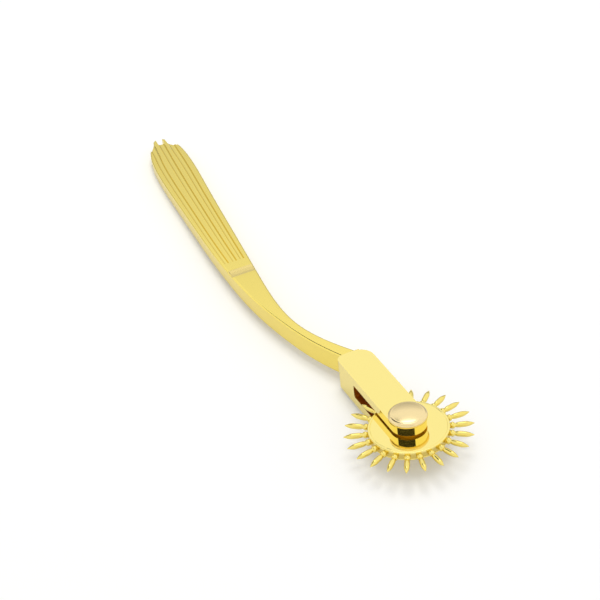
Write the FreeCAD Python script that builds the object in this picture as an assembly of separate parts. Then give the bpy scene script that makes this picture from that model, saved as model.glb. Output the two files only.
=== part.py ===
import FreeCAD, Part
import os
from math import cos, pi, sin, sqrt

# A hand-held pin wheel: a wheel of radial pins turns on a screwed axle in the fork
# of a flat, bent and fluted metal handle.
# Frame, in millimetres: Z is the wheel's axis, with Z = 0 at the flat face of the
# axle's underside head. X runs from the wheel along the fork towards the grip.

# Axle: a slotted screw from below, closed by a domed cap on top
axle_radius = 1.5
running_fit = 0.03
seat_fit = 0.01
head_radius = 4.3
head_height = 1.6
head_edge = 0.5
head_slot_width = 0.9
head_slot_depth = 0.8
cap_radius = 4.7
cap_wall = 0.45
cap_height = 1.6
cap_shoulder_radius = 3.8
cap_shoulder_height = 1.15
cap_shoulder_bulge = 0.16
cap_thread_depth = 0.9

# Fork: a slotted block
fork_half_width = 4.4
cheek_thickness = 2.3
slot_height = 3.5
slot_end = 20.4
slot_corner = 0.5
fork_end = 30.1
fork_end_bulge = 0.3
fork_left_corner = 2.0
fork_right_corner = 4.0
fork_outer_edge = 0.25
fork_inner_edge = 0.15
fork_thickness = slot_height + 2 * cheek_thickness

# Wheel: two discs on a core that holds the pins
disc_radius = 9.72
disc_thickness = 0.5
disc_bevel_width = 0.6
disc_bevel_drop = 0.05
disc_edge = 0.16
core_thickness = 1.3
bush_wall = 1.1
bush_stand_proud = 0.05
washer_end_play = 0.05
washer_radius = 3.3

# Pins
pin_count = 22
first_pin_angle = 2.8
pin_reach = 5.78
spigot_radius = 0.5
spigot_length = 2.4
bead_foot_radius = 0.62
bead_radius = 0.82
bead_length = 1.2
waist_radius = 0.52
belly_radius = 0.68
belly_share = 0.34
taper_radius = 0.55
taper_share = 0.66
tip_radius = 0.06
pin_sides = 12

# Handle: plan outline in the wheel's plane, from the fork to the butt
neck_root_thickness = 6.0
neck_thickness = 4.7
neck_bevel = 0.2
grip_root_thickness = 4.4
grip_butt_thickness = 3.3
grip_edge = 0.25
left_edge = [(27.0, 0.4), (40.0, 5.65), (53.0, 8.8), (66.0, 10.7), (80.0, 11.45), (100.0, 11.15),
             (125.0, 9.85), (145.0, 8.6)]
butt_edge = [(157.0, 6.9), (165.0, 3.9), (168.5, 0.7), (165.0, -2.9)]
right_edge = [(161.0, -3.95), (153.0, -4.0), (131.0, -1.65), (111.0, 0.7), (80.0, 4.3), (63.0, 5.95),
              (50.0, 5.35), (40.0, 2.3), (29.0, -3.3)]
band_start = 80.2
band_length = 3.7
band_depth = 0.3
flute_start = 87.9
flute_width = 1.2
flute_widening = 0.6
flute_depth = 0.7
flute_shares = (0.195, 0.49, 0.76)
flute_end_notches = (0.8, 3.0, 3.3)

# Tang: the handle's end that is brazed into the fork
tang_length = 6.0
tang_width = 3.0
tang_thickness = 3.2
tang_centre_y = 0.9

# Levels that follow from the sizes above
fork_bottom = head_height
fork_top = fork_bottom + fork_thickness
wheel_level = (fork_bottom + fork_top) / 2
wheel_thickness = core_thickness + 2 * disc_thickness
bush_radius = axle_radius + running_fit + bush_wall
bush_height = wheel_thickness + 2 * bush_stand_proud
washer_thickness = (slot_height - bush_height) / 2 - washer_end_play
pin_tip_radius = disc_radius + pin_reach
butt_x = max(x for x, y in butt_edge)
grip_start = band_start + band_length

up = FreeCAD.Vector(0, 0, 1)
along_y = FreeCAD.Vector(0, 1, 0)
origin = FreeCAD.Vector(0, 0, 0)


def point(x, y, z=0.0):
    return FreeCAD.Vector(x, y, z)


def line(start, end):
    return Part.LineSegment(start, end).toShape()


def arc(start, middle, end):
    return Part.Arc(start, middle, end).toShape()


def smooth_edge(points):
    curve = Part.BSplineCurve()
    curve.interpolate([point(x, y) for x, y in points])
    return curve.toShape()


def prism(edges, bottom, height):
    face = Part.Face(Part.Wire(edges))
    face.translate(point(0, 0, bottom))
    return face.extrude(point(0, 0, height))


def spun(profile, axis_start, axis_direction):
    """A solid of revolution from a closed list of edges."""
    face = Part.Face(Part.Wire(profile))
    return face.revolve(axis_start, axis_direction, 360)


def tube(outer, inner, bottom, height):
    ring = Part.makeCylinder(outer, height, point(0, 0, bottom))
    return ring.cut(Part.makeCylinder(inner, height, point(0, 0, bottom)))


def edges_at_level(solid, level):
    """The edges of a solid that lie wholly in one level plane."""
    found = []
    for edge in solid.Edges:
        box = edge.BoundBox
        if abs(box.ZMin - level) < 1e-4 and abs(box.ZMax - level) < 1e-4:
            found.append(edge)
    return found


def at_wheel_level(solid):
    solid.translate(point(0, 0, wheel_level))
    return solid


# ---- Axle and its washers

def make_axle_screw():
    head = Part.makeCylinder(head_radius, head_height)
    head = head.makeChamfer(head_edge, edges_at_level(head, 0))
    slot = Part.makeBox(2.2 * head_radius, head_slot_width, head_slot_depth,
                        point(-1.1 * head_radius, -head_slot_width / 2, 0))
    shank_length = fork_thickness + cap_thread_depth
    shank = Part.makeCylinder(axle_radius, shank_length + seat_fit, point(0, 0, head_height - seat_fit))
    return head.cut(slot).fuse(shank).removeSplitter()


def make_axle_cap():
    base = fork_top
    rim = point(cap_radius, 0, base)
    wall_top = point(cap_radius, 0, base + cap_wall)
    shoulder = point(cap_shoulder_radius, 0, base + cap_shoulder_height)
    crown = point(0, 0, base + cap_height)
    crown_rise = cap_height - cap_shoulder_height
    crown_sphere = (cap_shoulder_radius ** 2 + crown_rise ** 2) / (2 * crown_rise)
    half_way = cap_shoulder_radius / 2
    crown_drop = crown_sphere - sqrt(crown_sphere ** 2 - half_way ** 2)
    half_shoulder = point((cap_radius + cap_shoulder_radius) / 2 + cap_shoulder_bulge, 0,
                          base + (cap_wall + cap_shoulder_height) / 2 + cap_shoulder_bulge)
    crown_bend = point(half_way, 0, crown.z - crown_drop)
    centre = point(0, 0, base)
    dome = spun([line(centre, rim), line(rim, wall_top), line(wall_top, half_shoulder),
                 line(half_shoulder, shoulder), arc(shoulder, crown_bend, crown), line(crown, centre)],
                origin, up)
    thread = Part.makeCylinder(axle_radius + seat_fit, cap_thread_depth + seat_fit, point(0, 0, base))
    return dome.cut(thread)


def make_thrust_washer(side):
    cheek_face = wheel_level + side * slot_height / 2
    bottom = min(cheek_face, cheek_face - side * washer_thickness)
    return tube(washer_radius, axle_radius + running_fit, bottom, washer_thickness)


# ---- Fork

def fork_outline():
    half = fork_half_width
    turn = 1 - 1 / sqrt(2)
    left_turn = fork_left_corner * turn
    right_turn = fork_right_corner * turn
    left_a = point(fork_end - fork_left_corner, half)
    left_b = point(fork_end, half - fork_left_corner)
    right_a = point(fork_end, fork_right_corner - half)
    right_b = point(fork_end - fork_right_corner, -half)
    middle_y = (left_b.y + right_a.y) / 2
    return [
        line(point(0, half), left_a),
        arc(left_a, point(fork_end - left_turn, half - left_turn), left_b),
        arc(left_b, point(fork_end + fork_end_bulge, middle_y), right_a),
        arc(right_a, point(fork_end - right_turn, right_turn - half), right_b),
        line(right_b, point(0, -half)),
        arc(point(0, -half), point(-half, 0), point(0, half)),
    ]


def make_cheek(bottom, outer_level, inner_level):
    cheek = prism(fork_outline(), bottom, cheek_thickness)
    cheek = cheek.makeChamfer(fork_outer_edge, edges_at_level(cheek, outer_level))
    return cheek.makeChamfer(fork_inner_edge, edges_at_level(cheek, inner_level))


def make_tang(clearance):
    width = tang_width + 2 * clearance
    thickness = tang_thickness + 2 * clearance
    start = fork_end - tang_length - clearance
    return Part.makeBox(tang_length + fork_end_bulge + 1.0, width, thickness,
                        point(start, tang_centre_y - width / 2, wheel_level - thickness / 2))


def make_fork_block():
    """The fork before its holes: two cheeks and the solid web behind the slot."""
    lower = make_cheek(fork_bottom, fork_bottom, fork_bottom + cheek_thickness)
    upper_base = fork_top - cheek_thickness
    upper = make_cheek(upper_base, fork_top, upper_base)
    web_bottom = fork_bottom + cheek_thickness / 2
    web = prism(fork_outline(), web_bottom, fork_thickness - cheek_thickness)
    reach = 2 * (slot_end + fork_half_width)
    slot = Part.makeBox(reach, 4 * fork_half_width, slot_height,
                        point(slot_end - reach, -2 * fork_half_width, wheel_level - slot_height / 2))
    end_edges = []
    for edge in slot.Edges:
        if abs(edge.BoundBox.XMin - slot_end) < 1e-4 and edge.BoundBox.YLength > 1:
            end_edges.append(edge)
    slot = slot.makeFillet(slot_corner, end_edges)
    behind = Part.makeBox(fork_end, 4 * fork_half_width, 2 * fork_thickness,
                          point(slot_end - slot_corner, -2 * fork_half_width, -fork_thickness / 2))
    web = web.common(behind).cut(slot)
    return lower.fuse([upper, web]).removeSplitter()


def make_fork():
    hole = Part.makeCylinder(axle_radius + seat_fit, fork_thickness, point(0, 0, fork_bottom))
    return make_fork_block().cut(hole).cut(make_tang(seat_fit))


# ---- Handle

def handle_outline():
    edge = smooth_edge(left_edge + butt_edge + right_edge)
    front = line(point(*right_edge[-1]), point(*left_edge[0]))
    return [edge, front]


def make_wedge(x_start, x_end, near, far):
    """The flat space between two stations, with the even taper set by two (x, thickness) pairs."""
    slope = (far[1] - near[1]) / (far[0] - near[0])
    high_start = (near[1] + slope * (x_start - near[0])) / 2
    high_end = (near[1] + slope * (x_end - near[0])) / 2
    corners = [point(x_start, -100, -high_start), point(x_end, -100, -high_end),
               point(x_end, -100, high_end), point(x_start, -100, high_start)]
    edges = [line(corners[i - 1], corners[i]) for i in range(4)]
    return Part.Face(Part.Wire(edges)).extrude(point(0, 200, 0))


def make_grip_wedge(x_start, inset):
    """The space between the grip's two faces, less an inset on each."""
    return make_wedge(x_start, butt_x + 5, (grip_start, grip_root_thickness - 2 * inset),
                      (butt_x, grip_butt_thickness - 2 * inset))


def make_bar(wedge, bevel):
    """The stretch of the handle inside a wedge, with its long edges bevelled."""
    height = neck_root_thickness + 1
    bar = prism(handle_outline(), -height / 2, height).common(wedge)
    return bar.makeChamfer(bevel, [edge for edge in bar.Edges if edge.Length > 20])


def grip_sides(x):
    """Where the handle's outline crosses a station along X: its left and right Y."""
    outline = smooth_edge(left_edge + butt_edge + right_edge)
    station = line(point(x, -100), point(x, 100))
    crossings = [pair[0].y for pair in outline.distToShape(station)[1]]
    return max(crossings), min(crossings)


def flute_plan(share):
    """The plan outline of one flute, which keeps its share of the grip's width."""
    stations = [flute_start, flute_start + 20, flute_start + 42, left_edge[-1][0], butt_edge[0][0]]
    sides = {1: [], -1: []}
    for x in stations:
        left, right = grip_sides(x)
        grown = (x - flute_start) / (butt_x - flute_start) * flute_widening
        for side in sides:
            sides[side].append((x, left + (right - left) * share + side * (flute_width + grown) / 2))
    for side in sides:
        (x0, y0), (x1, y1) = sides[side][-2:]
        beyond = butt_x + 4
        sides[side].append((beyond, y1 + (y1 - y0) / (x1 - x0) * (beyond - x1)))
    upper, lower = sides[1], sides[-1]
    return [smooth_edge(upper), line(point(*upper[-1]), point(*lower[-1])),
            smooth_edge(lower), line(point(*lower[0]), point(*upper[0]))]


def make_flute_cutters():
    """Channels in both faces that meet in a notch over the butt's end."""
    floor = make_grip_wedge(grip_start, flute_depth)
    cutters = []
    for share, notch in zip(flute_shares, flute_end_notches):
        kept = prism(handle_outline(), -20, 40)
        kept.translate(point(-notch, 0, 0))
        full = prism(flute_plan(share), -10, 20)
        cutters.append(full.cut(floor))
        cutters.append(full.cut(kept))
    return cutters


def make_band_cutters():
    """Shallow scoops across the top and bottom, where the neck meets the grip."""
    radius = band_length ** 2 / (8 * band_depth) + band_depth / 2
    rise = neck_thickness / 2 - band_depth + radius
    middle = band_start + band_length / 2
    return [Part.makeCylinder(radius, 60, point(middle, -30, side * rise), along_y) for side in (1, -1)]


def make_neck():
    """The bent part, thickest at the fork."""
    wedge = make_wedge(left_edge[0][0] - 10, grip_start, (fork_end, neck_root_thickness),
                       (band_start, neck_thickness))
    neck = make_bar(wedge, neck_bevel)
    for cutter in make_band_cutters():
        neck = neck.cut(cutter)
    return neck


def make_grip():
    grip = make_bar(make_grip_wedge(grip_start, 0), grip_edge)
    for cutter in make_flute_cutters():
        grip = grip.cut(cutter)
    return grip


def make_handle():
    bar = make_neck().fuse(make_grip()).removeSplitter()
    bar = at_wheel_level(bar)
    return bar.cut(make_fork_block()).fuse(make_tang(0)).removeSplitter()


# ---- Wheel

def make_disc(side):
    """A thin disc with a fine bevel and a broken edge, on one side of the core."""
    inner = bush_radius + seat_fit
    base = core_thickness / 2
    top = base + disc_thickness
    bevel_start = point(disc_radius - disc_bevel_width, 0, top)
    bevel_end = point(disc_radius - disc_edge, 0, top - disc_bevel_drop)
    wall_top = point(disc_radius, 0, top - disc_bevel_drop - disc_edge)
    wall_foot = point(disc_radius, 0, base)
    hub_foot = point(inner, 0, base)
    hub_top = point(inner, 0, top)
    corners = [hub_foot, hub_top, bevel_start, bevel_end, wall_top, wall_foot]
    disc = spun([line(corners[i - 1], corners[i]) for i in range(len(corners))], origin, up)
    if side < 0:
        disc = disc.mirror(origin, up)
    return at_wheel_level(disc)


def pin_angle(index):
    return first_pin_angle + index * 360 / pin_count


def turned(solid, index):
    solid.rotate(origin, up, pin_angle(index))
    return at_wheel_level(solid)


def pin_ring(x, radius):
    """Corners of a pin's section; the small pins have flat sides, which keeps the set light."""
    ring = []
    for index in range(pin_sides):
        angle = index * 2 * pi / pin_sides
        ring.append(point(x, radius * cos(angle), radius * sin(angle)))
    return ring


def stack_of_rings(stations):
    """A solid along X through (x, radius) stations, from a flat end to a flat or pointed one."""
    rings = [pin_ring(x, radius) for x, radius in stations]
    faces = [flat_face(rings[0]), flat_face(rings[-1])]
    for near, far in zip(rings, rings[1:]):
        for index in range(pin_sides):
            faces.append(flat_face([near[index - 1], near[index], far[index], far[index - 1]]))
    return Part.makeSolid(Part.makeShell(faces))


def flat_face(corners):
    return Part.Face(Part.makePolygon(corners + corners[:1]))


def make_core():
    """A ring with one flat and one blind seat for each pin."""
    corner_radius = disc_radius / cos(pi / pin_count)
    corners = []
    for index in range(pin_count):
        angle = (pin_angle(index) + 180 / pin_count) * pi / 180
        corners.append(point(corner_radius * cos(angle), corner_radius * sin(angle)))
    sides = [line(corners[i - 1], corners[i]) for i in range(pin_count)]
    core = prism(sides, wheel_level - core_thickness / 2, core_thickness)
    bore = Part.makeCylinder(bush_radius + seat_fit, wheel_level + core_thickness)
    seats = []
    for index in range(pin_count):
        seat = stack_of_rings([(disc_radius - spigot_length, spigot_radius),
                               (disc_radius + 1, spigot_radius)])
        seats.append(turned(seat, index))
    return core.cut(bore).cut(Part.makeCompound(seats))


def make_bush():
    return tube(bush_radius, axle_radius + running_fit, wheel_level - bush_height / 2, bush_height)


def make_pin(index):
    """One pin: spigot, bead, waist, cigar-shaped body and blunt point."""
    bead_end = disc_radius + bead_length
    body_length = pin_tip_radius - bead_end
    stations = [
        (disc_radius - spigot_length + seat_fit, spigot_radius - seat_fit),
        (disc_radius, spigot_radius - seat_fit),
        (disc_radius, bead_foot_radius),
        (disc_radius + bead_length / 2, bead_radius),
        (bead_end, waist_radius),
        (bead_end + belly_share * body_length, belly_radius),
        (bead_end + taper_share * body_length, taper_radius),
        (pin_tip_radius, tip_radius),
    ]
    return turned(stack_of_rings(stations), index)


def build_all():
    nodes = {
        "handle": make_handle(),
        "fork": make_fork(),
        "axle_screw": make_axle_screw(),
        "axle_cap": make_axle_cap(),
        "upper_thrust_washer": make_thrust_washer(1),
        "lower_thrust_washer": make_thrust_washer(-1),
        "upper_wheel_disc": make_disc(1),
        "lower_wheel_disc": make_disc(-1),
        "wheel_core": make_core(),
        "wheel_bush": make_bush(),
    }
    for index in range(pin_count):
        nodes["pin_%02d" % (index + 1)] = make_pin(index)
    return nodes


os.makedirs("parts", exist_ok=True)
for name, shape in build_all().items():
    solids = shape.Solids
    if len(solids) != 1 or not shape.isValid():
        print("check", name, len(solids), shape.isValid())
    box = shape.BoundBox
    print("%-20s volume %9.3f  x %7.2f..%7.2f  y %7.2f..%7.2f  z %6.2f..%6.2f" % (
        name, shape.Volume, box.XMin, box.XMax, box.YMin, box.YMax, box.ZMin, box.ZMax))
    shape.exportStep("parts/" + name + ".step")
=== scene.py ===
from math import atan, cos, pi, radians, sin, tan

import bmesh
import bpy
import numpy as np
from mathutils import Matrix, Vector


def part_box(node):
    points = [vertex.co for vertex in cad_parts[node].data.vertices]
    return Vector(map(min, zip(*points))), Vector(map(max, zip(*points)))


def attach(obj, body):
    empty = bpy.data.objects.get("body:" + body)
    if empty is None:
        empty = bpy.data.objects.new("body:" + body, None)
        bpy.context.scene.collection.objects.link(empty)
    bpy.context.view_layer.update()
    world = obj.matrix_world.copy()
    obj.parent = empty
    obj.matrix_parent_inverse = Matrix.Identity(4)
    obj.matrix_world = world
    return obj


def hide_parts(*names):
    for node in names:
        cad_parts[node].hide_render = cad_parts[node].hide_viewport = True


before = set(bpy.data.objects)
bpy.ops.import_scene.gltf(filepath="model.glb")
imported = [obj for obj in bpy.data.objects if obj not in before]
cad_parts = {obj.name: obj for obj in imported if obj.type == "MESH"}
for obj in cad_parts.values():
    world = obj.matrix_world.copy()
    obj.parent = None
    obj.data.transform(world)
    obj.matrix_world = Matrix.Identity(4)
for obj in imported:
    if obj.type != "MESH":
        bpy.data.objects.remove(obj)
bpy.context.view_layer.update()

mm = 0.001
weldGap = 1e-7  # metres: nearer corners become one
hair = 0.01  # mm within which a face counts as lying on a plane
flatShare = 0.2  # share of a corner's radius that stays flat beside its arc
scene = bpy.context.scene
scene.view_settings.view_transform = "Standard"


# Colours are written as sRGB hex and used as linear light.
def linear(hexColour):
    parts = [int(hexColour[i:i + 2], 16) / 255 for i in (1, 3, 5)]
    return [p / 12.92 if p <= 0.04045 else ((p + 0.055) / 1.055) ** 2.4 for p in parts] + [1.0]


def addNode(tree, kind, settings=None, links=None):
    node = tree.nodes.new(kind)
    for key, value in (settings or {}).items():
        if isinstance(key, str) and hasattr(node, key):
            setattr(node, key, value)
        else:
            node.inputs[key].default_value = value
    for key, source in (links or {}).items():
        tree.links.new(source, node.inputs[key])
    return node


# Finishes. roughness grows by up to spread inside the wiping marks, which are smearMm wide.
# hazeMm is the size of the plating's grain and bump its strength.
goldFinish = {
    "mirror": {"colour": "#FDEB92", "roughness": 0.035, "spread": 0.025,
               "smearMm": 5.0, "hazeMm": 0.5, "bump": 0.01},
    # slot: dull plate whose brown colour is painted shade for the deep gap between fork and wheel
    "slot": {"colour": "#C9801F", "roughness": 0.45, "spread": 0.08,
             "smearMm": 2.0, "hazeMm": 0.4, "bump": 0.03},
    # lip: rough plate whose deep yellow colour is a painted reflection of gold light bouncing in the gap
    "lip": {"colour": "#FFD94A", "roughness": 0.42, "spread": 0.06,
            "smearMm": 2.0, "hazeMm": 0.4, "bump": 0.02},
    # core: turned plate whose darker colour is painted shade between the two discs
    "core": {"colour": "#DEC66E", "roughness": 0.20, "spread": 0.06,
             "smearMm": 2.0, "hazeMm": 0.3, "bump": 0.03},
    "buffed": {"colour": "#FCE67A", "roughness": 0.10, "spread": 0.05,
               "smearMm": 6.0, "hazeMm": 0.35, "bump": 0.02},
    "barrel": {"colour": "#F9E480", "roughness": 0.05, "spread": 0.03,
               "smearMm": 2.0, "hazeMm": 0.5, "bump": 0.008},
    "pale": {"colour": "#F8E1A8", "roughness": 0.13, "spread": 0.05,
             "smearMm": 2.5, "hazeMm": 0.3, "bump": 0.02},
    "satin": {"colour": "#F7E08E", "roughness": 0.24, "spread": 0.06,
              "smearMm": 3.0, "hazeMm": 0.3, "bump": 0.05},
    "plain": {"colour": "#D9BE82", "roughness": 0.30, "spread": 0.10,
              "smearMm": 1.5, "hazeMm": 0.25, "bump": 0.06},
}
grainDepth = 0.02


def platedMetal(name, finish, stretch=(1.0, 1.0, 1.0)):
    material = bpy.data.materials.new(name)
    material.use_nodes = True
    tree = material.node_tree
    tree.nodes.clear()
    spot = addNode(tree, "ShaderNodeTexCoord").outputs["Object"]
    # wiping marks: slow changes in how sharp the mirror is
    smear = addNode(tree, "ShaderNodeMapping", {"Scale": [s / (finish["smearMm"] * mm) for s in stretch]},
                    {"Vector": spot})
    cloud = addNode(tree, "ShaderNodeTexNoise", {"Scale": 1.0, "Detail": 3.0, "Roughness": 0.6},
                    {"Vector": smear.outputs["Vector"]})
    gloss = addNode(tree, "ShaderNodeMapRange",
                    {"From Min": 0.3, "From Max": 0.7, "To Min": finish["roughness"],
                     "To Max": finish["roughness"] + finish["spread"]},
                    {"Value": cloud.outputs["Fac"]})
    # orange-peel and buffing haze of the plating
    haze = addNode(tree, "ShaderNodeTexNoise",
                   {"Scale": 1 / (finish["hazeMm"] * mm), "Detail": 2.0, "Roughness": 0.5}, {"Vector": spot})
    relief = addNode(tree, "ShaderNodeBump", {"Strength": finish["bump"], "Distance": grainDepth * mm},
                     {"Height": haze.outputs["Fac"]})
    metal = addNode(tree, "ShaderNodeBsdfPrincipled",
                    {"Base Color": linear(finish["colour"]), "Metallic": 1.0},
                    {"Roughness": gloss.outputs["Result"], "Normal": relief.outputs["Normal"]})
    addNode(tree, "ShaderNodeOutputMaterial", {}, {"Surface": metal.outputs["BSDF"]})
    return material


# Bright gold plate over a mirror polish: sharp reflections, pale where it faces the light.
mirrorGold = platedMetal("mirrorPolishedGoldPlate", goldFinish["mirror"])
# Inside the slot the plate is dull, and its brown is a painted shade that stands in for gold light bouncing
# in the dark gap.
slotShadeGold = platedMetal("slotGoldWithPaintedShade", goldFinish["slot"])
# The lips of the slot over the wheel are rough plate; their deep yellow is a painted reflection of gold
# light bouncing between cheek and disc.
lipSheenGold = platedMetal("roughSlotLipGoldWithPaintedSheen", goldFinish["lip"])
# The handle was buffed along its length before plating, so its marks run that way and blur a little.
buffedGold = platedMetal("lengthwiseBuffedGoldPlate", goldFinish["buffed"], (0.3, 1.0, 1.0))
# The band between neck and grip was left satin, so it looks paler and softer than its neighbours.
satinGold = platedMetal("satinGoldPlate", goldFinish["satin"])
# The wheel's middle is turned and plated, not polished. Its darker colour is painted shade, where it sits
# between the discs above the shadowed floor, so the pins stand out against it.
coreShadeGold = platedMetal("turnedGoldWithPaintedShade", goldFinish["core"])
# Pins were tumbled in a barrel: soft edges and an even shine.
barrelGold = platedMetal("barrelPolishedGoldPlate", goldFinish["barrel"])
# The cap and screw have a paler, champagne plate with a slightly satin look.
paleGold = platedMetal("champagneGoldPlate", goldFinish["pale"])
# The bush and washers are bare turned brass: duller, darker yellow.
turnedBrass = platedMetal("bareTurnedBrass", goldFinish["plain"])
print("finishes made")


# Helpers for shapes
def meshPiece(name, corners, faces, sharpDegrees=30):
    mesh = bpy.data.meshes.new(name)
    mesh.from_pydata([Vector(c) * mm for c in corners], [], faces)
    piece = bpy.data.objects.new(name, mesh)
    scene.collection.objects.link(piece)
    tidyMesh(mesh, sharpDegrees)
    return piece


def tidyMesh(mesh, sharpDegrees=30):
    shell = bmesh.new()
    shell.from_mesh(mesh)
    bmesh.ops.remove_doubles(shell, verts=shell.verts, dist=weldGap)
    bmesh.ops.recalc_face_normals(shell, faces=shell.faces)
    shell.to_mesh(mesh)
    shell.free()
    for face in mesh.polygons:
        face.use_smooth = True
    mesh.set_sharp_from_angle(angle=radians(sharpDegrees))


def roundCorners(corners, radii, steps=6):
    # Replaces each corner of a closed line with an arc, and keeps the flats beside it flat.
    line = []
    count = len(corners)
    for i in range(count):
        here = Vector(corners[i]).to_2d()
        if not radii[i]:
            line.append(tuple(here))
            continue
        back = (Vector(corners[i - 1]).to_2d() - here).normalized()
        ahead = (Vector(corners[(i + 1) % count]).to_2d() - here).normalized()
        half = back.angle(ahead) / 2
        reach = radii[i] / tan(half)
        centre = here + (back + ahead).normalized() * radii[i] / sin(half)
        start = here + back * reach
        turn = (start - centre).angle_signed(here + ahead * reach - centre)
        line.append(tuple(start + back * radii[i] * flatShare))
        for k in range(steps + 1):
            arm = start - centre
            arm.rotate(Matrix.Rotation(-turn * k / steps, 2))
            line.append(tuple(centre + arm))
        line.append(tuple(here + ahead * (reach + radii[i] * flatShare)))
    return line


def splineThrough(points, count):
    # natural cubic spline through the points, spaced by the chords between them
    given = np.array(points, float)
    step = np.linalg.norm(np.diff(given, axis=0), axis=1)
    reach = np.concatenate(([0], np.cumsum(step)))
    size = len(given)
    system, wanted = np.eye(size), np.zeros((size, 2))
    for i in range(1, size - 1):
        system[i, i - 1:i + 2] = step[i - 1], 2 * (step[i - 1] + step[i]), step[i]
        wanted[i] = 6 * ((given[i + 1] - given[i]) / step[i] - (given[i] - given[i - 1]) / step[i - 1])
    bend = np.linalg.solve(system, wanted)
    line = []
    for u in np.linspace(0, reach[-1], count):
        i = min(int(np.searchsorted(reach, u, side="right")) - 1, size - 2)
        b = (u - reach[i]) / step[i]
        a = 1 - b
        curve = ((a ** 3 - a) * bend[i] + (b ** 3 - b) * bend[i + 1]) * step[i] ** 2 / 6
        line.append(a * given[i] + b * given[i + 1] + curve)
    return np.array(line)


def turnedPiece(name, profile, segments=144, sharpDegrees=30):
    # profile is a closed loop of (radius, height), in mm
    corners, rings = [], []
    for radius, height in profile:
        if radius < 1e-6:
            rings.append([len(corners)] * segments)
            corners.append((0, 0, height))
            continue
        rings.append(list(range(len(corners), len(corners) + segments)))
        for k in range(segments):
            angle = 2 * pi * k / segments
            corners.append((radius * cos(angle), radius * sin(angle), height))
    faces = []
    for near, far in zip(rings, rings[1:] + rings[:1]):
        for k in range(segments):
            loop = [near[k - 1], near[k], far[k], far[k - 1]]
            face = [v for i, v in enumerate(loop) if v != loop[i - 1]]
            if len(set(face)) > 2:
                faces.append(face)
    return meshPiece(name, corners, faces, sharpDegrees)


def extrudedPiece(name, outline, bottom, top):
    count = len(outline)
    corners = [(x, y, bottom) for x, y in outline] + [(x, y, top) for x, y in outline]
    faces = [list(range(count))[::-1], list(range(count, 2 * count))]
    for k in range(count):
        before = (k - 1) % count
        faces.append([before, k, count + k, count + before])
    return meshPiece(name, corners, faces)


def settle(piece):
    # Applies a piece's modifiers, so that its mesh is plain.
    depsgraph = bpy.context.evaluated_depsgraph_get()
    mesh = bpy.data.meshes.new_from_object(piece.evaluated_get(depsgraph))
    piece.modifiers.clear()
    piece.data = mesh
    return piece


def cutWith(piece, cutter):
    cut = piece.modifiers.new("cut", "BOOLEAN")
    cut.operation = "DIFFERENCE"
    cut.solver = "EXACT"
    cut.object = cutter
    settle(piece)
    bpy.data.objects.remove(cutter)
    tidyMesh(piece.data)


def softenEdges(piece, widthMm, degrees=30, segments=3):
    soft = piece.modifiers.new("soft", "BEVEL")
    soft.width = widthMm * mm
    soft.segments = segments
    soft.limit_method = "ANGLE"
    soft.angle_limit = radians(degrees)
    soft.use_clamp_overlap = True
    soft.harden_normals = True
    settle(piece)


def place(piece, material, body, slotName, *nodes):
    piece.data.materials.clear()
    piece.data.materials.append(material)
    if nodes:
        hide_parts(*nodes)
    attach(piece, body)


def nodeSpan(node):
    low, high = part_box(node)
    return [c / mm for c in low], [c / mm for c in high]


# Levels taken from the frame
wheelLow, wheelHigh = nodeSpan("wheel_core")
wheelLevel = (wheelLow[2] + wheelHigh[2]) / 2
forkLow, forkHigh = nodeSpan("fork")
capLow, capHigh = nodeSpan("axle_cap")
screwTop = nodeSpan("axle_screw")[1][2]


# The fork is a slotted block with a round nose. Behind shaded, the slot's faces are painted brown, as shade
# in the deep gap.
fork = {"halfWidth": 4.4, "slotHeight": 3.5, "slotEnd": 20.4, "end": 30.1, "bulge": 0.3,
        "leftCorner": 2.0, "bulgeCorner": 8, "rightCorner": 4.0, "slotCorner": 0.5, "edge": 0.2,
        "shaded": 10.0, "clear": 9, "noseSteps": 60}


def makeFork():
    w, clear, shaded = fork["halfWidth"], fork["clear"], fork["shaded"]
    turns = [pi / 2 + pi * k / fork["noseSteps"] for k in range(fork["noseSteps"] + 1)]
    nose = [(w * cos(turn), w * sin(turn)) for turn in turns]
    corners = [(fork["end"], -w), (fork["end"] + fork["bulge"], 0), (fork["end"], w)]
    radii = [fork["rightCorner"], fork["bulgeCorner"], fork["leftCorner"]]
    back = roundCorners([(0, -w)] + corners + [(0, w)], [0] + radii + [0], 12)[1:-1]
    block = extrudedPiece("fork_block", nose + back, forkLow[2], forkHigh[2])
    half = fork["slotHeight"] / 2
    under, over = wheelLevel - half, wheelLevel + half
    slotLine = [(-clear, under), (shaded, under), (fork["slotEnd"], under),
                (fork["slotEnd"], over), (shaded, over), (-clear, over)]
    slotLine = roundCorners(slotLine, [0, 0, fork["slotCorner"], fork["slotCorner"], 0, 0], 4)
    slot = extrudedPiece("slot", slotLine, -clear, clear)
    # the slot is drawn in plan and stood up on its side
    slot.data.transform(Matrix(((1, 0, 0, 0), (0, 0, -1, 0), (0, 1, 0, 0), (0, 0, 0, 1))))
    tidyMesh(slot.data)
    cutWith(block, slot)
    softenEdges(block, fork["edge"])
    place(block, mirrorGold, "frame", "fork_gold", "fork")
    # the slot's inner faces take duller plate: a painted deep yellow bounce near the opening, and a painted
    # brown shade in its deep part
    block.data.materials.append(lipSheenGold)
    block.data.materials.append(slotShadeGold)
    for face in block.data.polygons:
        x, level = face.center.x / mm, abs(face.center.z / mm - wheelLevel)
        if x < fork["slotEnd"] + hair and level < half + hair and abs(face.normal.y) < 0.1:
            face.material_index = 2 if x > shaded else 1


makeFork()
print("fork made")


# The axle has a domed cap on top and a slotted head below.
axle = {"capRadius": 4.7, "wall": 0.45, "shoulderRadius": 3.8, "shoulderHeight": 1.23,
        "footInset": 0.10, "footRise": 0.08, "crownSteps": 24, "shoulderSteps": 12,
        "shankRadius": 1.5, "headRadius": 4.3, "headHeight": 1.6, "headRound": 0.5, "headTopRound": 0.1,
        "slotWidth": 0.9, "slotDepth": 0.8}


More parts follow.
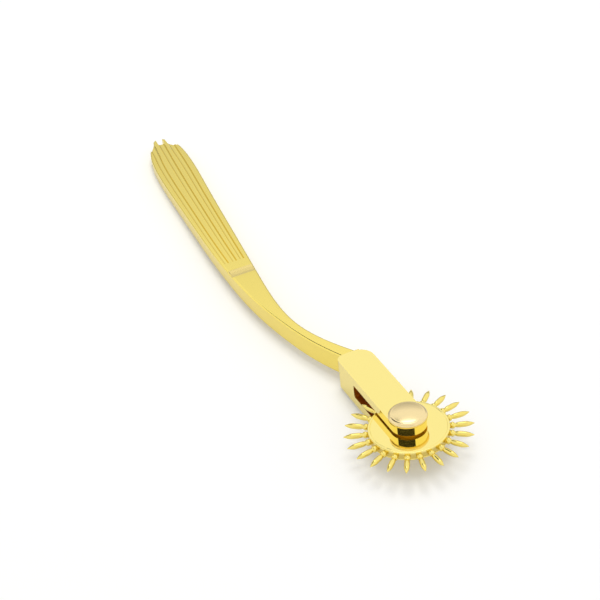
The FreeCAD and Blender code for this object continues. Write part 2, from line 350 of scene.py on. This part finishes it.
def makeCap():
    base, top = capLow[2], capHigh[2]
    radius, crownFoot = axle["capRadius"], axle["shoulderRadius"]
    crownRise = top - base - axle["shoulderHeight"]
    crownRadius = (crownFoot ** 2 + crownRise ** 2) / (2 * crownRise)
    spread = atan(crownFoot / (crownRadius - crownRise))
    crown = []
    for k in range(axle["crownSteps"] + 1):
        angle = spread * (1 - k / axle["crownSteps"])
        crown.append((crownRadius * sin(angle), top - crownRadius * (1 - cos(angle))))
    # an elliptical shoulder joins the wall to the crown without an edge
    shoulder = []
    for k in range(axle["shoulderSteps"] + 1):
        angle = k / axle["shoulderSteps"] * pi / 2
        height = axle["wall"] + (axle["shoulderHeight"] - axle["wall"]) * sin(angle)
        shoulder.append((crownFoot + (radius - crownFoot) * cos(angle), base + height))
    profile = [(0, base), (radius - axle["footInset"], base), (radius, base + axle["footRise"])]
    profile += shoulder + crown[1:]
    cap = turnedPiece("domed_cap", profile, 192, 60)
    place(cap, paleGold, "frame", "axle_champagne", "axle_cap")


def makeScrew():
    r, shank = axle["headRadius"], axle["shankRadius"]
    outline = [(0, 0), (r, 0), (r, axle["headHeight"]), (shank, axle["headHeight"]), (shank, screwTop),
               (0, screwTop)]
    profile = roundCorners(outline, [0, axle["headRound"], axle["headTopRound"], 0, 0, 0], 8)
    screw = turnedPiece("slotted_screw", profile, 144)
    half = axle["slotWidth"] / 2
    plan = [(-2 * r, -half), (2 * r, -half), (2 * r, half), (-2 * r, half)]
    groove = extrudedPiece("groove", plan, -1, axle["slotDepth"])
    cutWith(screw, groove)
    place(screw, paleGold, "frame", "axle_champagne", "axle_screw")


makeCap()
makeScrew()
print("axle made")


# The wheel has two mirror discs on a core that holds the pins.
wheel = {"radius": 9.72, "hub": 2.64, "bevelWidth": 0.6, "bevelDrop": 0.05, "rim": 0.16, "innerRim": 0.04,
         "groove": 0.05, "grooveRounds": [0.02, 0.01, 0.01], "hubRound": 0.05,
         "coreInset": 0.04, "coreRound": 0.06, "segments": 220}


def makeDisc(name, node, flip):
    low, high = nodeSpan(node)
    z0, z1 = (high[2], low[2]) if flip else (low[2], high[2])
    side = -1 if flip else 1
    r = wheel["radius"]
    inner = r - wheel["bevelWidth"]
    cut = wheel["groove"]
    rimTop = z1 - side * wheel["bevelDrop"]
    # a fine turned line parts the flat face from the rolled rim
    outline = [(wheel["hub"], z0), (r, z0), (r, rimTop), (inner + cut * 1.5, z1 - side * cut * 0.2),
               (inner, z1 - side * cut), (inner - cut, z1), (wheel["hub"], z1)]
    radii = [0, wheel["innerRim"], wheel["rim"]] + wheel["grooveRounds"] + [wheel["hubRound"]]
    disc = turnedPiece(name, roundCorners(outline, radii, 8), wheel["segments"])
    place(disc, mirrorGold, "wheel", "disc_gold", node)


def makeCore():
    low, high = nodeSpan("wheel_core")
    r = wheel["radius"] - wheel["coreInset"]
    outline = [(wheel["hub"], low[2]), (r, low[2]), (r, high[2]), (wheel["hub"], high[2])]
    radii = [0, wheel["coreRound"], wheel["coreRound"], 0]
    core = turnedPiece("wheel_middle", roundCorners(outline, radii, 4), wheel["segments"])
    place(core, coreShadeGold, "wheel", "core_gold", "wheel_core")


makeDisc("upper_disc", "upper_wheel_disc", False)
makeDisc("lower_disc", "lower_wheel_disc", True)
makeCore()
print("wheel made")


# Every pin is the same turned shape: a bead, a straight body and a pointed end.
# line lists (distance from the wheel's edge, radius) as far as the pointed end, whose sides
# follow the power endCurve.
pins = {"count": 22, "startDegrees": 2.8, "rootRadius": 9.72, "tipRadius": 15.5, "sunk": 0.6, "tip": 0.06,
        "point": 0.02, "lineSteps": 34, "endSteps": 14, "endCurve": 1.7, "sides": 40, "sharpDegrees": 50,
        "line": [(0.0, 0.62), (0.3, 0.77), (0.6, 0.82), (0.9, 0.75), (1.2, 0.52), (1.5, 0.57), (2.0, 0.655),
                 (2.8, 0.68), (3.7, 0.665)]}


def makePinShape():
    root = pins["rootRadius"]
    length = pins["tipRadius"] - root
    body = [tuple(p) for p in splineThrough(pins["line"], pins["lineSteps"])]
    start, thick = body[-1]
    for k in range(1, pins["endSteps"] + 1):
        t = k / pins["endSteps"]
        share = 1 - t ** pins["endCurve"]
        body.append((start + (length - start) * t, pins["tip"] + (thick - pins["tip"]) * share))
    profile = [(0, root - pins["sunk"]), (pins["line"][0][1], root - pins["sunk"])]
    profile += [(radius, root + x) for x, radius in body] + [(0, pins["tipRadius"] + pins["point"])]
    pin = turnedPiece("pin_shape", profile, pins["sides"], pins["sharpDegrees"])
    pin.data.transform(Matrix.Rotation(pi / 2, 4, "Y"))
    return pin


def pinTree(material):
    tree = bpy.data.node_groups.new("ringOfPins", "GeometryNodeTree")
    socket = tree.interface.new_socket
    socket("Geometry", in_out="INPUT", socket_type="NodeSocketGeometry")
    socket("Pin", in_out="INPUT", socket_type="NodeSocketObject")
    socket("Count", in_out="INPUT", socket_type="NodeSocketInt")
    socket("Start Angle", in_out="INPUT", socket_type="NodeSocketFloat")
    socket("Level", in_out="INPUT", socket_type="NodeSocketFloat")
    socket("Geometry", in_out="OUTPUT", socket_type="NodeSocketGeometry")
    given = addNode(tree, "NodeGroupInput").outputs
    index = addNode(tree, "GeometryNodeInputIndex").outputs["Index"]
    share = addNode(tree, "ShaderNodeMath", {"operation": "DIVIDE"}, {0: index, 1: given["Count"]})
    angle = addNode(tree, "ShaderNodeMath", {"operation": "MULTIPLY_ADD", 1: 2 * pi},
                    {0: share.outputs["Value"], 2: given["Start Angle"]})
    turn = addNode(tree, "ShaderNodeCombineXYZ", {}, {"Z": angle.outputs["Value"]})
    middle = addNode(tree, "ShaderNodeCombineXYZ", {}, {"Z": given["Level"]})
    points = addNode(tree, "GeometryNodePoints", {},
                     {"Count": given["Count"], "Position": middle.outputs["Vector"]})
    shape = addNode(tree, "GeometryNodeObjectInfo", {}, {"Object": given["Pin"]})
    ring = addNode(tree, "GeometryNodeInstanceOnPoints", {},
                   {"Points": points.outputs[0], "Instance": shape.outputs["Geometry"],
                    "Rotation": turn.outputs["Vector"]})
    real = addNode(tree, "GeometryNodeRealizeInstances", {}, {"Geometry": ring.outputs["Instances"]})
    coat = addNode(tree, "GeometryNodeSetMaterial", {"Material": material},
                   {"Geometry": real.outputs["Geometry"]})
    addNode(tree, "NodeGroupOutput", {}, {"Geometry": coat.outputs["Geometry"]})
    return tree


def makePins():
    shape = makePinShape()
    carrier = bpy.data.objects.new("pin_ring", bpy.data.meshes.new("pin_ring"))
    scene.collection.objects.link(carrier)
    ring = carrier.modifiers.new("ring", "NODES")
    ring.node_group = pinTree(barrelGold)
    values = {"Pin": shape, "Count": pins["count"], "Start Angle": radians(pins["startDegrees"]),
              "Level": wheelLevel * mm}
    for item in ring.node_group.interface.items_tree:
        if item.in_out == "INPUT" and item.name in values:
            ring[item.identifier] = values[item.name]
    settle(carrier)
    bpy.data.objects.remove(shape)
    names = ["pin_%02d" % (k + 1) for k in range(pins["count"])]
    place(carrier, barrelGold, "wheel", "pin_gold", *names)


makePins()
print("pins made")


# The handle is a bent bar whose two faces taper, with a scooped band and three flutes on each face.
# left, butt and right are one outline, in plan. neck and grip give (x, thickness) at their ends, and band
# its start, end and depth. stations says where the bar's sections stand, as (first, last, step).
handle = {
    "left": [(27.0, 0.4), (40.0, 5.65), (53.0, 8.8), (66.0, 10.7), (80.0, 11.45), (100.0, 11.15),
             (125.0, 9.85), (145.0, 8.6)],
    "butt": [(157.0, 6.9), (165.0, 3.9), (168.5, 0.7), (165.0, -2.9)],
    "right": [(161.0, -3.95), (153.0, -4.0), (131.0, -1.65), (111.0, 0.7), (80.0, 4.3), (63.0, 5.95),
              (50.0, 5.35), (40.0, 2.3), (29.0, -3.3)],
    "neck": [(30.1, 6.0), (80.2, 4.7)], "grip": [(83.9, 4.4), (168.5, 3.3)],
    "band": (80.2, 83.9, 0.06), "bandRamp": 1.3, "satinInset": 0.1,
    "edge": 0.50, "edgeSteps": 6, "underEdge": 0.08,
    "outlineSteps": 4000, "rootSections": 5, "buttFrom": 157, "buttSections": 30,
    "stations": {"neck": (32, 80, 1.2), "band": (80.2, 83.89, 0.12), "grip": (86, 156, 2.0)},
    "bandEdge": (83.88, 83.92)}

# Each flute lies at its share of the width, and its two sides meet the face in a small flare. At the butt
# a notch as deep as notches says joins it with its twin below, wider by notchSpread on its two sides.
# A flute runs straight on after straightFrom, in the direction that it has had since guide.
flutes = {"start": 87.9, "width": 1.2, "widening": 0.6, "depth": 0.55, "shares": (0.195, 0.49, 0.76),
          "notches": (0.8, 3.0, 2.5), "notchSpread": ((0.12, 0.12), (0.12, 0.12), (0.12, 0.9)),
          "flare": 0.09, "flareTop": 0.02, "flareLow": 0.03, "bowlTop": 0.12, "bowlFloor": 0.35,
          "bowlSteps": 8, "guide": 145, "straightFrom": 157, "end": 174, "stations": (90, 157, 3.0),
          "search": (150, 174, 0.05), "halfHeight": 4}


def halfThickness(x):
    # taper of the neck or grip, less the scoop of the band between them
    (x0, t0), (x1, t1) = handle["neck"] if x < handle["band"][1] else handle["grip"]
    half = (t0 + (t1 - t0) * (x - x0) / (x1 - x0)) / 2
    start, end, depth = handle["band"]
    if start < x < end:
        rise = min(1.0, (x - start) / handle["bandRamp"], (end - x) / handle["bandRamp"])
        half -= depth * rise * rise * (3 - 2 * rise)
    return half


def handleSides():
    # dense points of the outline from the fork to the butt's tip, and from the tip back
    line = splineThrough(handle["left"] + handle["butt"] + handle["right"], handle["outlineSteps"])
    tip = int(line[:, 0].argmax())
    return line[:tip + 1], line[tip:][::-1]


def crossAt(side, x):
    # where a side crosses a station, and which way it faces there
    slope = np.gradient(side, axis=0)
    y = np.interp(x, side[:, 0], side[:, 1])
    dx, dy = (np.interp(x, side[:, 0], slope[:, k]) for k in (0, 1))
    return Vector((x, y)), Vector((-dy, dx)).normalized()


def handleStations(leftStart, rightStart, tip):
    # pairs of stations, close together at the band and at the butt's tip
    first, butt, steps = handle["stations"]["neck"][0], handle["buttFrom"], handle["buttSections"]
    neck, band, grip = (list(np.arange(*handle["stations"][part])) for part in ("neck", "band", "grip"))
    shared = neck + band + list(handle["bandEdge"]) + grip
    shared += [butt + (tip - butt) * sin(k / steps * pi / 2) for k in range(steps)]
    shares = [k / handle["rootSections"] for k in range(handle["rootSections"])]
    pairs = [tuple(start + (first - start) * share for start in (leftStart, rightStart)) for share in shares]
    return pairs + [(x, x) for x in shared]


def barProfile():
    # (inset, drop) pairs from the side wall over the rounded edge to the flat face
    radius, flat = handle["edge"], handle["edge"] + handle["underEdge"]
    turns = [pi / 2 * k / handle["edgeSteps"] for k in range(handle["edgeSteps"] + 1)]
    arc = [(radius * (1 - cos(turn)), radius * (1 - sin(turn))) for turn in turns]
    return [(0, flat)] + arc + [(flat, 0)]


def makeBar():
    left, right = handleSides()
    tip = left[-1]
    pairs = handleStations(left[0][0], right[0][0], tip[0])
    outline = [crossAt(left, x) for x, _ in pairs] + [(Vector(tip), Vector((1, 0)))]
    for _, x in reversed(pairs):
        spot, facing = crossAt(right, x)
        outline.append((spot, -facing))
    # round every place of the outline the corners run from the wall to the upper flat, then from the
    # lower flat back to the wall
    profile = barProfile()
    rows = len(profile)
    corners = []
    for spot, facing in outline:
        for side in (1, -1):
            for inset, drop in profile if side > 0 else reversed(profile):
                at = spot - facing * inset
                corners.append((at.x, at.y, wheelLevel + side * (halfThickness(at.x) - drop)))
    count, ring = len(outline), 2 * rows
    faces = []
    steps = [(k, k - 1) for k in range(rows - 1, 0, -1)] + [(k, k + 1) for k in range(rows, ring - 1)]
    for i in range(count - 1):
        for a, b in steps + [(0, ring - 1)]:
            faces.append([i * ring + a, i * ring + b, (i + 1) * ring + b, (i + 1) * ring + a])
    # the upper and lower flats, between the two sides
    for i in range(len(pairs)):
        near, far = i, count - 1 - i
        for k in (rows - 1, rows):
            faces.append([near * ring + k, (near + 1) * ring + k, (far - 1) * ring + k, far * ring + k])
    faces = [[v for j, v in enumerate(face) if v != face[j - 1]] for face in faces]
    faces.append(list(range(ring)) + [(count - 1) * ring + k for k in reversed(range(ring))])
    return meshPiece("fluted_handle", corners, faces)


def fluteSides(share, x, left, right):
    # a flute keeps its share of the width, and goes straight on where the butt narrows
    guide, straight = flutes["guide"], flutes["straightFrom"]
    if x > straight:
        upper0, lower0 = fluteSides(share, guide, left, right)
        upper1, lower1 = fluteSides(share, straight, left, right)
        ahead = (x - straight) / (straight - guide)
        return upper1 + (upper1 - upper0) * ahead, lower1 + (lower1 - lower0) * ahead
    high, low = crossAt(left, x)[0].y, crossAt(right, x)[0].y
    grown = (x - flutes["start"]) / (handle["grip"][1][0] - flutes["start"]) * flutes["widening"]
    middle, half = high + (low - high) * share, (flutes["width"] + grown) / 2
    return middle + half, middle - half


def fluteSection(half):
    # half of a section, as (distance from the middle, height over the face)
    flare, bowl, floor = flutes["flare"], flutes["bowlTop"], flutes["bowlFloor"]
    section = [(half + flare, 1.0), (half + flare, flutes["flareTop"]),
               (half + flare / 3, -flutes["flareLow"]), (half, -bowl)]
    for k in range(1, flutes["bowlSteps"] + 1):
        angle = k / flutes["bowlSteps"] * pi / 2
        drop = bowl + (flutes["depth"] - bowl) * sin(angle)
        section.append((half * (floor + (1 - floor) * cos(angle)), -drop))
    return section


def makeFluteCutter(side):
    left, right = handleSides()
    stations = [flutes["start"]] + list(np.arange(*flutes["stations"]))
    stations += [flutes["straightFrom"], flutes["end"]]
    corners, faces = [], []
    for share in flutes["shares"]:
        first = len(corners)
        for x in stations:
            upper, lower = fluteSides(share, x, left, right)
            middle, section = (upper + lower) / 2, fluteSection((upper - lower) / 2)
            section += [(-y, z) for y, z in reversed(section)]
            corners += [(x, middle + y, wheelLevel + side * (halfThickness(x) + z)) for y, z in section]
        ring = len(section)
        for i in range(len(stations) - 1):
            for k in range(ring):
                a, b = first + i * ring + k, first + i * ring + (k + 1) % ring
                faces.append([a, b, b + ring, a + ring])
        last = first + (len(stations) - 1) * ring
        faces += [list(range(first, first + ring)), list(range(last, last + ring))]
    return meshPiece("flute_cutter", corners, faces)


def makeNotchCutter():
    # where the flutes of both faces meet over the butt's end
    left, right = handleSides()
    tip, end, height = left[-1][0], flutes["end"], flutes["halfHeight"]
    corners, faces = [], []
    for share, notch, spread in zip(flutes["shares"], flutes["notches"], flutes["notchSpread"]):
        edges = []
        for k, wider in ((0, spread[0]), (1, -spread[1])):
            for x in np.arange(*flutes["search"]):
                y = fluteSides(share, x, left, right)[k] + wider
                behind = min(x + notch, tip)
                if x + notch >= tip or not crossAt(right, behind)[0].y < y < crossAt(left, behind)[0].y:
                    break
            edges.append((x, y))
        upper, lower = fluteSides(share, end, left, right)
        first = len(corners)
        plan = [edges[0], (end + 1, upper + spread[0]), (end + 1, lower - spread[1]), edges[1]]
        corners += [(x, y, wheelLevel + z) for z in (-height, height) for x, y in plan]
        faces += [[first + k for k in face] for face in
                  ([0, 1, 2, 3], [4, 5, 6, 7], [0, 1, 5, 4], [1, 2, 6, 5], [2, 3, 7, 6], [3, 0, 4, 7])]
    return meshPiece("notch_cutter", corners, faces)


def makeHandle():
    bar = makeBar()
    cutWith(bar, makeFluteCutter(1))
    cutWith(bar, makeFluteCutter(-1))
    cutWith(bar, makeNotchCutter())
    place(bar, buffedGold, "frame", "handle_gold", "handle")
    bar.data.materials.append(satinGold)
    # the band's upper and lower faces take the satin plate
    start, end = handle["band"][0] + handle["satinInset"], handle["band"][1] - handle["satinInset"]
    for face in bar.data.polygons:
        if start < face.center.x / mm < end and abs(face.normal.z) > 0.7:
            face.material_index = 1


makeHandle()
print("handle made")


# The bare brass parts stay as the frame has them.
for name in ("upper_thrust_washer", "lower_thrust_washer", "wheel_bush"):
    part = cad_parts[name]
    for slotIndex in range(max(1, len(part.material_slots))):
        if not part.material_slots:
            part.data.materials.append(turnedBrass)
        part.material_slots[slotIndex].material = turnedBrass


# The stage: a pale floor on which the head and the butt rest, a white tent, and the camera.
# glow is the floor's white share, and mirrored a darker tone that only polished metal sees in the floor:
# painted shade standing in for the floor's shadow round the object.
stage = {"floorColour": "#F8F7F3", "mirrored": "#E3E1DA", "glow": 0.18, "size": 4.0, "gap": 0.02,
         "restX": 3.8, "buttX": 167.0}


def makeFloor():
    size = stage["size"]
    buttLevel = wheelLevel - halfThickness(stage["buttX"])
    slope = atan(buttLevel / (stage["buttX"] - stage["restX"]))
    mesh = bpy.data.meshes.new("floor")
    corners = [(-size, -size, 0), (size, -size, 0), (size, size, 0), (-size, size, 0)]
    mesh.from_pydata(corners, [], [(0, 1, 2, 3)])
    floor = bpy.data.objects.new("floor", mesh)
    scene.collection.objects.link(floor)
    floor.rotation_euler = (0, -slope, 0)
    floor.location = (0, 0, -(stage["restX"] * tan(slope) + stage["gap"]) * mm)
    material = bpy.data.materials.new("matPaper")
    material.use_nodes = True
    tree = material.node_tree
    tree.nodes.clear()
    # glossy rays see the darker mirrored tone, a painted shade of the floor in the metal's reflections
    tone = addNode(tree, "ShaderNodeMix", {"data_type": "RGBA", 6: linear(stage["floorColour"]),
                                           7: linear(stage["mirrored"])},
                   {0: addNode(tree, "ShaderNodeLightPath").outputs["Is Glossy Ray"]})
    paper = addNode(tree, "ShaderNodeBsdfDiffuse", {}, {"Color": tone.outputs[2]})
    # the camera and the polished metal see a paler floor than the light does
    white = addNode(tree, "ShaderNodeEmission", {"Color": (1, 1, 1, 1), "Strength": 1.0})
    share = addNode(tree, "ShaderNodeMath", {"operation": "MULTIPLY", 1: stage["glow"]},
                    {0: backdropRays(tree).outputs[0]})
    both = addNode(tree, "ShaderNodeMixShader", {},
                   {0: share.outputs[0], 1: paper.outputs[0], 2: white.outputs[0]})
    addNode(tree, "ShaderNodeOutputMaterial", {}, {"Surface": both.outputs[0]})
    mesh.materials.append(material)


def backdropRays(tree):
    # 1 for the rays that are meant to see the backdrop, whether straight, mirrored or through glass
    rays = addNode(tree, "ShaderNodeLightPath").outputs
    sharp = addNode(tree, "ShaderNodeMath", {"operation": "MAXIMUM"},
                    {0: rays["Is Glossy Ray"], 1: rays["Is Transmission Ray"]})
    return addNode(tree, "ShaderNodeMath", {"operation": "MAXIMUM"},
                   {0: rays["Is Camera Ray"], 1: sharp.outputs[0]})


# What polished metal sees of the tent. The far wall turns grey towards the table, by (height, grey), and two
# openings are dark: a slit on the camera's side and a gap high up between two panels. Each way is the
# middle of an opening, and each range is where a direction starts and ends to count. soft is the light
# that the tent gives the floor.
tent = {"farWay": (0.951, -0.309, 0.0), "farRange": (0.55, 0.75), "soft": 0.74, "softColour": "#FBFCFF",
        "wall": [(0.0, 0.45), (0.25, 0.49), (0.42, 0.71), (0.50, 0.82), (0.57, 1.0)],
        "slit": {"way": (-0.707, 0.707, 0.0), "range": (0.42, 0.46), "low": (0.60, 0.615),
                 "high": (0.68, 0.66), "level": 0.035},
        "gap": {"way": (0.58, 0.15, 0.80), "range": (0.968, 0.976), "level": 0.01}}


def makeWorld():
    world = bpy.data.worlds.new("studio")
    scene.world = world
    world.use_nodes = True
    tree = world.node_tree
    tree.nodes.clear()
    way = addNode(tree, "ShaderNodeTexCoord").outputs["Generated"]

    def ease(value, limits):
        settings = {"interpolation_type": "SMOOTHSTEP", "From Min": limits[0], "From Max": limits[1]}
        return addNode(tree, "ShaderNodeMapRange", settings, {"Value": value}).outputs["Result"]

    def along(direction):
        return addNode(tree, "ShaderNodeVectorMath", {"operation": "DOT_PRODUCT", 1: direction},
                       {0: way}).outputs["Value"]

    def blend(share, ordinary, changed):
        node = addNode(tree, "ShaderNodeMix", {"data_type": "FLOAT"}, {0: share})
        for socket, value in ((node.inputs[2], ordinary), (node.inputs[3], changed)):
            if isinstance(value, float):
                socket.default_value = value
            else:
                tree.links.new(value, socket)
        return node.outputs[0]

    wall = addNode(tree, "ShaderNodeValToRGB", {}, {"Fac": along((0, 0, 1))})
    stops = wall.color_ramp.elements
    stops[1].position = tent["wall"][-1][0]
    for height, _ in tent["wall"][1:-1]:
        stops.new(height)
    for k, (_, grey) in enumerate(tent["wall"]):
        stops[k].color = (grey, grey, grey, 1)
    level = blend(ease(along(tent["farWay"]), tent["farRange"]), 1.0, wall.outputs["Color"])
    slit, gap = tent["slit"], tent["gap"]
    height = along((0, 0, 1))
    inside = ease(along(slit["way"]), slit["range"])
    for limits in (slit["low"], slit["high"]):
        inside = addNode(tree, "ShaderNodeMath", {"operation": "MULTIPLY"},
                         {0: inside, 1: ease(height, limits)}).outputs[0]
    level = blend(inside, level, slit["level"])
    level = blend(ease(along(gap["way"]), gap["range"]), level, gap["level"])
    mirror = addNode(tree, "ShaderNodeBackground", {"Color": (1, 1, 1, 1)}, {"Strength": level})
    white = addNode(tree, "ShaderNodeBackground", {"Color": (1, 1, 1, 1), "Strength": 1.0})
    soft = addNode(tree, "ShaderNodeBackground",
                   {"Color": linear(tent["softColour"]), "Strength": tent["soft"]})
    rays = addNode(tree, "ShaderNodeLightPath").outputs
    lit = addNode(tree, "ShaderNodeMixShader", {},
                  {0: rays["Is Glossy Ray"], 1: soft.outputs[0], 2: mirror.outputs[0]})
    full = addNode(tree, "ShaderNodeMixShader", {},
                   {0: rays["Is Camera Ray"], 1: lit.outputs[0], 2: white.outputs[0]})
    addNode(tree, "ShaderNodeOutputWorld", {}, {"Surface": full.outputs[0]})


# The top lamp gives the floor its shadow and isn't mirrored. The softbox is what the cap's dome mirrors.
lamps = {
    "tentTop": {"spot": (0.14, -0.10, 0.90), "target": (0.05, 0, 0), "size": (0.45, 0.45), "watts": 3.3,
                "colour": "#FFFFFF", "mirrored": False},
    "softbox": {"spot": (0.35, -0.17, 0.78), "target": (0, 0, 0), "size": (0.24, 0.20), "watts": 0.26,
                "colour": "#EFF4FF", "mirrored": True}}


def makeLamp(name, given):
    data = bpy.data.lights.new(name, "AREA")
    data.shape = "RECTANGLE"
    data.size, data.size_y = given["size"]
    data.energy = given["watts"]
    data.color = linear(given["colour"])[:3]
    lamp = bpy.data.objects.new(name, data)
    scene.collection.objects.link(lamp)
    lamp.location = given["spot"]
    look = Vector(given["target"]) - Vector(given["spot"])
    lamp.rotation_euler = look.to_track_quat("-Z", "Y").to_euler()
    lamp.visible_glossy = given["mirrored"]


# Heights are over the wheel's level, in mm.
view = {"spot": (-266.2, 124.0, 237.9), "aim": (63.6, -0.9, 0.0), "rollDegrees": -6.97, "lens": 96.0,
        "sensorWidth": 36.0, "clipStart": 0.01}


def makeCamera():
    data = bpy.data.cameras.new("camera")
    data.lens = view["lens"]
    data.sensor_width = view["sensorWidth"]
    data.clip_start = view["clipStart"]
    camera = bpy.data.objects.new("camera", data)
    scene.collection.objects.link(camera)
    level = Vector((0, 0, wheelLevel))
    spot = (Vector(view["spot"]) + level) * mm
    look = (Vector(view["aim"]) + level) * mm - spot
    turn = look.to_track_quat("-Z", "Y").to_matrix() @ Matrix.Rotation(radians(view["rollDegrees"]), 3, "Z")
    camera.matrix_world = Matrix.Translation(spot) @ turn.to_4x4()
    scene.camera = camera


makeFloor()
makeWorld()
for lampName, given in lamps.items():
    makeLamp(lampName, given)
makeCamera()
print("stage made")
